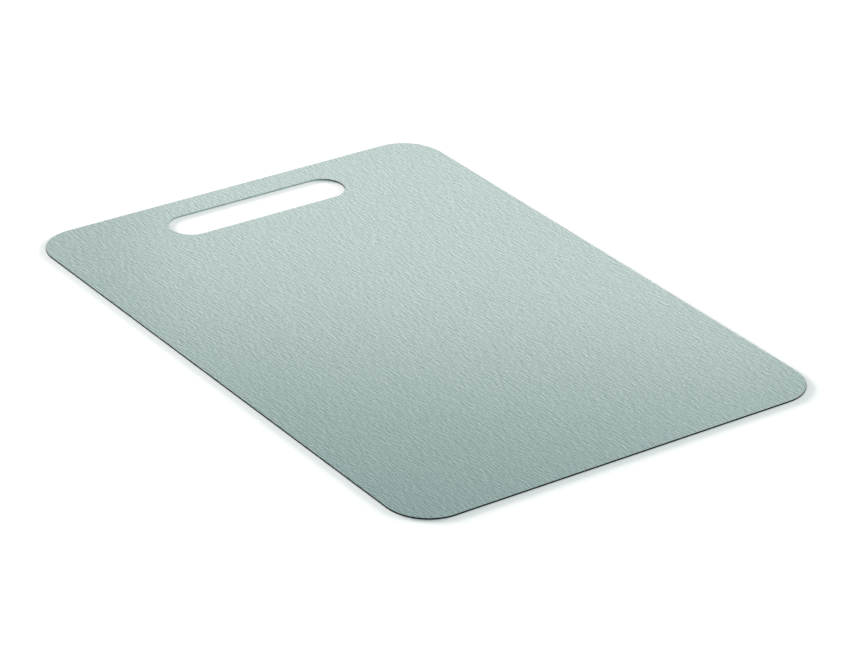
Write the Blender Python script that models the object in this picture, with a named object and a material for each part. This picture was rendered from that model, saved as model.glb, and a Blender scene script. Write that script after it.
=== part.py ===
# Metal cutting board: one thin flat sheet with round corners and a hand slot.
# Metres, +Z up. The board lies along Y with its slot towards +Y. The origin is under
# its middle, on the surface that it lies on.

import bmesh
import bpy

# Driving dimensions
BOARD_LENGTH = 0.350
BOARD_WIDTH = 0.250
SHEET_THICKNESS = 0.0008
CORNER_RADIUS = 0.023
SLOT_LENGTH = 0.109
SLOT_WIDTH = 0.024
SLOT_TO_EDGE = 0.0165  # metal left between the slot and the short edge
EDGE_BREAK = 0.00015  # the burr is taken off every cut edge

# Fineness of the curved shapes
CORNER_STEPS = 16
SLOT_CORNER_STEPS = 12  # half of a slot end
EDGE_BREAK_STEPS = 3
EDGE_BREAK_ANGLE = 1.0  # radians: only the cut edges turn more sharply than this
MERGE_DISTANCE = 0.000001

# Finish, read off the photograph
SHEET_COLOUR = (0.48, 0.59, 0.58, 1.0)
SHEET_ROUGHNESS = 0.38
SHEET_METALLIC = 1.0


def clear_scene():
    for item in list(bpy.data.objects):
        bpy.data.objects.remove(item, do_unlink=True)


def brushed_metal():
    material = bpy.data.materials.new("brushed_metal")
    material.use_nodes = True
    shader = material.node_tree.nodes["Principled BSDF"]
    shader.inputs["Base Color"].default_value = SHEET_COLOUR
    shader.inputs["Roughness"].default_value = SHEET_ROUGHNESS
    shader.inputs["Metallic"].default_value = SHEET_METALLIC
    return material


def round_cornered_slab(name, size, centre, radius, steps):
    """A slab with its four upright edges rounded. A radius of half its width gives half-round ends."""
    slab = bmesh.new()
    bmesh.ops.create_cube(slab, size=1.0)
    bmesh.ops.scale(slab, vec=size, verts=slab.verts)
    bmesh.ops.translate(slab, vec=centre, verts=slab.verts)
    upright = []
    for edge in slab.edges:
        start, end = edge.verts
        if abs(end.co.z - start.co.z) > size[2] / 2:
            upright.append(edge)
    bmesh.ops.bevel(
        slab,
        geom=upright,
        offset=radius,
        offset_type="OFFSET",
        segments=steps,
        profile=0.5,
        affect="EDGES",
        clamp_overlap=True,
        material=-1,
    )
    bmesh.ops.remove_doubles(slab, verts=slab.verts, dist=MERGE_DISTANCE)

    mesh = bpy.data.meshes.new(name)
    slab.to_mesh(mesh)
    slab.free()
    item = bpy.data.objects.new(name, mesh)
    bpy.context.scene.collection.objects.link(item)
    return item


def hand_slot_punch():
    """The shape that is punched out of the sheet, taller than the sheet so that it passes both faces."""
    punch = round_cornered_slab(
        "hand_slot_punch",
        size=(SLOT_LENGTH, SLOT_WIDTH, 3 * SHEET_THICKNESS),
        centre=(0.0, BOARD_LENGTH / 2 - SLOT_TO_EDGE - SLOT_WIDTH / 2, SHEET_THICKNESS / 2),
        radius=SLOT_WIDTH / 2,
        steps=SLOT_CORNER_STEPS,
    )
    punch.display_type = "WIRE"
    punch.hide_render = True
    return punch


def board_sheet():
    board = round_cornered_slab(
        "board_sheet",
        size=(BOARD_WIDTH, BOARD_LENGTH, SHEET_THICKNESS),
        centre=(0.0, 0.0, SHEET_THICKNESS / 2),
        radius=CORNER_RADIUS,
        steps=CORNER_STEPS,
    )
    board.data.materials.append(brushed_metal())

    hand_slot = board.modifiers.new("hand_slot", "BOOLEAN")
    hand_slot.operation = "DIFFERENCE"
    hand_slot.solver = "EXACT"
    hand_slot.object = hand_slot_punch()

    edge_break = board.modifiers.new("edge_break", "BEVEL")
    edge_break.limit_method = "ANGLE"
    edge_break.angle_limit = EDGE_BREAK_ANGLE
    edge_break.width = EDGE_BREAK
    edge_break.segments = EDGE_BREAK_STEPS
    edge_break.use_clamp_overlap = False
    return board


clear_scene()
board_sheet()
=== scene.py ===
import math

import bmesh
import bpy
from mathutils import Matrix, Vector


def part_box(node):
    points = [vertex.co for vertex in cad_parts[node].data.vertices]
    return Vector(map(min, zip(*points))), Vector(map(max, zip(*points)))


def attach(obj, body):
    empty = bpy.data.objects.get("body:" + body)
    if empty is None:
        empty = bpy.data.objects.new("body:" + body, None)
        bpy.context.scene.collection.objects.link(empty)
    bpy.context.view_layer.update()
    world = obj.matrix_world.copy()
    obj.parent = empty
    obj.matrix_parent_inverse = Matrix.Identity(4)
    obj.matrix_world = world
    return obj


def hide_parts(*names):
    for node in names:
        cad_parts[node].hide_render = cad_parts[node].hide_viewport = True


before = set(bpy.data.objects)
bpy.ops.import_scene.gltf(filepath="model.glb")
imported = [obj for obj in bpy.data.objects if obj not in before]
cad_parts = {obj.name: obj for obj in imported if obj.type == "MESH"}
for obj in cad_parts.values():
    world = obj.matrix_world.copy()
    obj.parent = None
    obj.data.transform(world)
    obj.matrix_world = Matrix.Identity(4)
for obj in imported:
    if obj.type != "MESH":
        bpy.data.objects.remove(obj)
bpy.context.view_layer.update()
print("frame loaded")


# Camera, at the viewing angle of the photograph
# Lengths are in metres and angles in degrees; the lens and the sensor are in mm
cameraValues = {
    "place": (-0.99366, -1.34757, 0.86970),
    "azimuth": -36.5944,  # round the board, 0 looks along +Y
    "elevation": 27.7563,  # above the horizon
    "roll": 2.0742,
    "lens": 156.083,
    "sensor": 36.0,
    "clip": (0.05, 50.0),  # the nearest and the farthest place that it sees
}


def makeCamera(values):
    azimuth = math.radians(values["azimuth"])
    elevation = math.radians(values["elevation"])
    level = math.cos(elevation)
    back = Vector((math.sin(azimuth) * level, -math.cos(azimuth) * level, math.sin(elevation)))
    right = Vector((0.0, 0.0, 1.0)).cross(back).normalized()
    turned = Matrix((right, back.cross(right), back)).transposed().to_4x4()
    roll = Matrix.Rotation(math.radians(values["roll"]), 4, "Z")
    lens = bpy.data.cameras.new("photoCamera")
    lens.sensor_width = values["sensor"]
    lens.lens = values["lens"]
    lens.clip_start, lens.clip_end = values["clip"]
    camera = bpy.data.objects.new("photoCamera", lens)
    camera.matrix_world = Matrix.Translation(values["place"]) @ turned @ roll
    bpy.context.scene.collection.objects.link(camera)
    bpy.context.scene.camera = camera


makeCamera(cameraValues)
print("camera placed")


# Node helpers
mixDark, mixLight, mixResult = 6, 7, 2  # a Mix node's colour sockets, which share their names


def newMaterial(name):
    material = bpy.data.materials.new(name)
    material.use_nodes = True
    tree = material.node_tree
    return material, tree, tree.nodes["Principled BSDF"]


def feed(tree, value, socket):
    # another node's output is linked to the socket, a plain value is set on it
    if isinstance(value, bpy.types.NodeSocket):
        tree.links.new(value, socket)
    else:
        socket.default_value = value


def stretchedNoise(tree, cell, detail=2.0, origin=(0.0, 0.0, 0.0), turn=0.0):
    # cell is the size of one feature along X, Y and Z, turned round Z
    place = tree.nodes.new("ShaderNodeTexCoord")
    mapping = tree.nodes.new("ShaderNodeMapping")
    mapping.vector_type = "TEXTURE"
    mapping.inputs["Location"].default_value = origin
    mapping.inputs["Rotation"].default_value = (0.0, 0.0, math.radians(turn))
    mapping.inputs["Scale"].default_value = cell
    noise = tree.nodes.new("ShaderNodeTexNoise")
    noise.inputs["Scale"].default_value = 1.0
    noise.inputs["Detail"].default_value = detail
    tree.links.new(place.outputs["Object"], mapping.inputs["Vector"])
    tree.links.new(mapping.outputs["Vector"], noise.inputs["Vector"])
    return noise.outputs["Fac"]


def spread(tree, value, low, high, toLow, toHigh):
    node = tree.nodes.new("ShaderNodeMapRange")
    node.inputs["From Min"].default_value = low
    node.inputs["From Max"].default_value = high
    node.inputs["To Min"].default_value = toLow
    node.inputs["To Max"].default_value = toHigh
    tree.links.new(value, node.inputs["Value"])
    return node.outputs["Result"]


def combine(tree, operation, *values):
    node = tree.nodes.new("ShaderNodeMath")
    node.operation = operation
    for value, socket in zip(values, node.inputs):
        feed(tree, value, socket)
    return node.outputs["Value"]


def mixColour(tree, factor, dark, light):
    node = tree.nodes.new("ShaderNodeMix")
    node.data_type = "RGBA"
    feed(tree, factor, node.inputs["Factor"])
    feed(tree, dark, node.inputs[mixDark])
    feed(tree, light, node.inputs[mixLight])
    return node.outputs[mixResult]


def addRelief(tree, shader, height, depth):
    bump = tree.nodes.new("ShaderNodeBump")
    bump.inputs["Distance"].default_value = depth
    tree.links.new(height, bump.inputs["Height"])
    tree.links.new(bump.outputs["Normal"], shader.inputs["Normal"])


def metalFinish(tree, shader, tone, colour, roughness):
    # tone runs from 0, dark, to 1, light, and sets the roughness too
    tree.links.new(colour, shader.inputs["Base Color"])
    tree.links.new(spread(tree, tone, 0.0, 1.0, *roughness), shader.inputs["Roughness"])
    shader.inputs["Metallic"].default_value = 1.0


# Finish of the two broad faces: short straight strokes along the board, with painted shade and
# painted highlight on the two sides of each stroke
faceValues = {
    "dark": (0.291, 0.398, 0.391, 1.0),
    "light": (0.687, 0.782, 0.763, 1.0),
    "middle": 0.5,  # of a noise, and of the mix of dark and light
    "turn": 6.0,  # between the strokes and the long edges
    # painted shade and highlight across the strokes, a short and a long kind
    "strokeCell": (0.0010, 0.0037, 0.0010),
    "strokeStep": 0.00022,
    "strokeStart": 0.12,
    "strokeGain": 1.40,
    "longCell": (0.0007, 0.0056, 0.0010),
    "longStep": 0.00017,
    "longStart": 0.27,
    "longGain": 1.75,
    "litDetail": 1.0,
    # flecks and hairlines between them, and a faint change over the whole sheet
    "fleckCell": (0.00045, 0.0011, 0.0010),
    "fleckGain": 1.4,
    "hairCell": (0.00014, 0.0110, 0.0010),
    "hairGain": 0.50,
    "cloudCell": (0.030, 0.055, 0.030),
    "cloudGain": 0.04,
    "plainDetail": 2.0,
    "plainStart": (0.31, 0.17, 0.23),
    "hairRelief": 0.000020,
    "roughness": (0.36, 0.30),
}


def plainNoise(tree, name, values):
    cell, detail = values[name + "Cell"], values["plainDetail"]
    return stretchedNoise(tree, cell, detail, values["plainStart"], values["turn"])


def paintedStrokeShading(tree, name, values):
    # the change of a noise across its strokes, painted into the colour: each has a painted
    # light side and a painted dark side
    cell, start = values[name + "Cell"], values[name + "Start"]
    sides = []
    for step in (-values[name + "Step"], values[name + "Step"]):
        origin = (start + step, start, start)
        sides.append(stretchedNoise(tree, cell, values["litDetail"], origin, values["turn"]))
    return combine(tree, "SUBTRACT", *sides)


def brushedFace(values):
    material, tree, shader = newMaterial("brushedFace")
    tone = values["middle"]
    for name in ("cloud", "fleck", "hair"):
        noise = plainNoise(tree, name, values)
        centred = combine(tree, "SUBTRACT", noise, values["middle"])
        tone = combine(tree, "MULTIPLY_ADD", centred, values[name + "Gain"], tone)
    addRelief(tree, shader, noise, values["hairRelief"])  # the last noise is the hairlines
    # painted shade and highlight on the strokes' sides, added to the tone that sets colour and
    # roughness
    for name in ("stroke", "long"):
        strokes = paintedStrokeShading(tree, name, values)
        tone = combine(tree, "MULTIPLY_ADD", strokes, values[name + "Gain"], tone)
    colour = mixColour(tree, tone, values["dark"], values["light"])
    metalFinish(tree, shader, tone, colour, values["roughness"])
    return material


# Cut edges: near-black all round, a painted shade; in the slot a painted reflection makes the
# wall bright up to its +X end
edgeValues = {
    # near-black tones of the cut edges: painted shade
    "dark": (0.007, 0.012, 0.0115, 1.0),
    "light": (0.026, 0.040, 0.038, 1.0),
    # tones of the painted reflection on the slot's wall
    "paintedReflectionDark": (0.290, 0.370, 0.360, 1.0),
    "paintedReflectionLight": (0.600, 0.725, 0.705, 1.0),
    "paintedReflectionEnd": (0.045, 0.057),  # the painted reflection fades out between these places along X
    "ridgeCell": (0.00022, 0.00022, 0.0030),
    "ridgeRange": (0.3, 0.7),  # of the noise, from the darkest to the lightest ridge
    "roughness": (0.70, 0.58),
    "relief": 0.000006,
}


def cutEdge(name, paintReflection, values):
    material, tree, shader = newMaterial(name)
    ridges = stretchedNoise(tree, values["ridgeCell"])
    tone = spread(tree, ridges, *values["ridgeRange"], 0.0, 1.0)
    # painted shade: the near-black colour of every cut edge
    colour = mixColour(tree, tone, values["dark"], values["light"])
    # painted reflection on the slot's wall, fading out towards its +X end
    if paintReflection:
        paintedReflectionColour = mixColour(tree, tone, values["paintedReflectionDark"], values["paintedReflectionLight"])
        place = tree.nodes.new("ShaderNodeTexCoord")
        parts = tree.nodes.new("ShaderNodeSeparateXYZ")
        tree.links.new(place.outputs["Object"], parts.inputs["Vector"])
        fade = spread(tree, parts.outputs["X"], *values["paintedReflectionEnd"], 1.0, 0.0)
        colour = mixColour(tree, fade, colour, paintedReflectionColour)
    metalFinish(tree, shader, tone, colour, values["roughness"])
    addRelief(tree, shader, ridges, values["relief"])
    return material


# The sheet: its width, length and thickness are those of the CAD node
sheetValues = {
    "cornerRadius": 0.023,
    "cornerSegments": 40,  # to a quarter turn
    "slotLength": 0.109,
    "slotWidth": 0.024,
    "slotToEdge": 0.0165,
    "slotSegments": 32,  # to a quarter turn
    "arris": 0.00015,
    "arrisSegments": 4,
    "mergeDistance": 0.000001,
    "levelSlope": 0.999,  # a face whose normal's Z is above this is the top or the underside
}


def roundedOutline(sheet, width, length, centreY, radius, segments):
    # a flat rectangle centred on the Y axis, with its corners rounded
    made = bmesh.ops.create_grid(sheet, x_segments=1, y_segments=1, size=0.5)
    corners = made["verts"]
    bmesh.ops.scale(sheet, vec=(width, length, 1.0), verts=corners)
    bmesh.ops.translate(sheet, vec=(0.0, centreY, 0.0), verts=corners)
    bmesh.ops.bevel(
        sheet,
        geom=corners,
        offset=radius,
        offset_type="OFFSET",
        segments=segments,
        profile=0.5,
        affect="VERTICES",
        clamp_overlap=True,
        material=-1,
    )


def cutBlank(sheet, size, slotY, values):
    # the outlines of the board and the slot, filled between them, and raised
    width, length, thickness = size
    slotLength, slotWidth = values["slotLength"], values["slotWidth"]
    roundedOutline(sheet, width, length, 0.0, values["cornerRadius"], values["cornerSegments"])
    roundedOutline(sheet, slotLength, slotWidth, slotY, slotWidth / 2, values["slotSegments"])
    bmesh.ops.remove_doubles(sheet, verts=sheet.verts, dist=values["mergeDistance"])
    bmesh.ops.delete(sheet, geom=sheet.faces[:], context="FACES_ONLY")
    bmesh.ops.triangle_fill(sheet, use_beauty=True, use_dissolve=False, edges=sheet.edges[:])
    copied = bmesh.ops.extrude_face_region(sheet, geom=sheet.faces[:], use_keep_orig=True)
    raised = [item for item in copied["geom"] if isinstance(item, bmesh.types.BMVert)]
    bmesh.ops.translate(sheet, vec=(0.0, 0.0, thickness), verts=raised)
    bmesh.ops.recalc_face_normals(sheet, faces=sheet.faces)


def isLevel(face, values):
    return abs(face.normal.z) > values["levelSlope"]


def breakArrises(sheet, values):
    # every edge between a wall and a broad face
    arrises = []
    for edge in sheet.edges:
        first, second = edge.link_faces
        if isLevel(first, values) != isLevel(second, values):
            arrises.append(edge)
    bmesh.ops.bevel(
        sheet,
        geom=arrises,
        offset=values["arris"],
        offset_type="OFFSET",
        segments=values["arrisSegments"],
        profile=0.5,
        affect="EDGES",
        clamp_overlap=False,
        material=-1,
    )


def sortFinishes(sheet, slotY, values):
    # material 0 is on the broad faces, 1 on the outer edge and 2 in the slot
    reachX = values["slotLength"] / 2 + values["arris"]
    reachY = values["slotWidth"] / 2 + values["arris"]
    for face in sheet.faces:
        level = isLevel(face, values)
        middle = face.calc_center_median()
        inSlot = abs(middle.x) < reachX and abs(middle.y - slotY) < reachY
        face.smooth = not level
        face.material_index = 0 if level else 2 if inSlot else 1
    for edge in sheet.edges:
        first, second = edge.link_faces
        if first.material_index != second.material_index:
            edge.smooth = False


def boardSheet(values):
    low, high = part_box("board_sheet")
    size = high[0] - low[0], high[1] - low[1], high[2] - low[2]
    slotY = high[1] - values["slotToEdge"] - values["slotWidth"] / 2
    sheet = bmesh.new()
    cutBlank(sheet, size, slotY, values)
    breakArrises(sheet, values)
    sortFinishes(sheet, slotY, values)
    mesh = bpy.data.meshes.new("brushed_sheet")
    sheet.to_mesh(mesh)
    sheet.free()
    mesh.materials.append(brushedFace(faceValues))
    mesh.materials.append(cutEdge("outerEdge", False, edgeValues))
    mesh.materials.append(cutEdge("slotEdge", True, edgeValues))
    piece = bpy.data.objects.new("brushed_sheet", mesh)
    bpy.context.scene.collection.objects.link(piece)
    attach(piece, "root")
    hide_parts("board_sheet")


boardSheet(sheetValues)
print("sheet made")


# Floor and light
studioValues = {
    "floorRadius": 8.0,
    "floorSegments": 96,
    "floorColour": (0.97, 0.97, 0.965, 1.0),
    "floorRoughness": 0.9,
    "floorSpecular": 0.0,
    "worldColour": (0.820, 1.0, 1.0, 1.0),
    "worldStrength": 0.505,
    "softboxColour": (1.0, 0.867, 0.847),
    "panelColour": (1.0, 0.90, 0.90),
    # bearing from +Y towards +X, distance from the middle, height,
    # width, depth, watts, and what the light falls on
    "lights": {
        "stripSoftbox": (43.0, 0.32, 0.12, 0.70, 0.20, 0.2145, "all"),
        "stripMiddle": (43.0, 0.312, 0.117, 0.40, 0.20, 0.053, "all"),
        "rightPanel": (97.0, 6.0, 0.80, 4.5, 1.1, 855.0, "floor"),
        "farPanel": (-20.0, 6.0, 0.68, 4.5, 1.0, 1370.0, "floor"),
        "backSoftbox": (158.0, 0.55, 0.20, 0.80, 0.22, 0.34, "metal"),
        "sideSoftbox": (-75.0, 0.50, 0.18, 0.40, 0.20, 0.14, "metal"),
        "topSoftbox": (-60.0, 0.30, 1.50, 1.40, 0.60, 1.40, "metal"),
    },
}


def makeFloor(values):
    radius, segments = values["floorRadius"], values["floorSegments"]
    ground = bmesh.new()
    bmesh.ops.create_circle(ground, cap_ends=True, segments=segments, radius=radius)
    mesh = bpy.data.meshes.new("floor")
    ground.to_mesh(mesh)
    ground.free()
    material, _, shader = newMaterial("paleFloor")
    shader.inputs["Base Color"].default_value = values["floorColour"]
    shader.inputs["Roughness"].default_value = values["floorRoughness"]
    shader.inputs["Specular IOR Level"].default_value = values["floorSpecular"]
    mesh.materials.append(material)
    floor = bpy.data.objects.new("floor", mesh)
    bpy.context.scene.collection.objects.link(floor)


def makeSurroundings(values):
    world = bpy.data.worlds.new("studioWorld")
    world.use_nodes = True
    background = world.node_tree.nodes["Background"]
    background.inputs["Color"].default_value = values["worldColour"]
    background.inputs["Strength"].default_value = values["worldStrength"]
    bpy.context.scene.world = world
    bpy.context.scene.view_settings.view_transform = "Standard"


def hangLight(name, values):
    bearing, distance, height, width, depth, watts, target = values["lights"][name]
    light = bpy.data.lights.new(name, "AREA")
    light.shape = "RECTANGLE"
    light.size = width
    light.size_y = depth
    light.energy = watts
    light.color = values["panelColour"] if target == "floor" else values["softboxColour"]
    lamp = bpy.data.objects.new(name, light)
    angle = math.radians(bearing)
    place = Vector((distance * math.sin(angle), distance * math.cos(angle), height))
    aim = (-place).to_track_quat("-Z", "Y").to_matrix().to_4x4()  # at the middle of the board
    lamp.matrix_world = Matrix.Translation(place) @ aim
    lamp.visible_camera = False
    lamp.visible_glossy = target != "floor"
    lamp.visible_diffuse = target != "metal"
    bpy.context.scene.collection.objects.link(lamp)


makeFloor(studioValues)
makeSurroundings(studioValues)
for lightName in studioValues["lights"]:
    hangLight(lightName, studioValues)
print("studio lit")
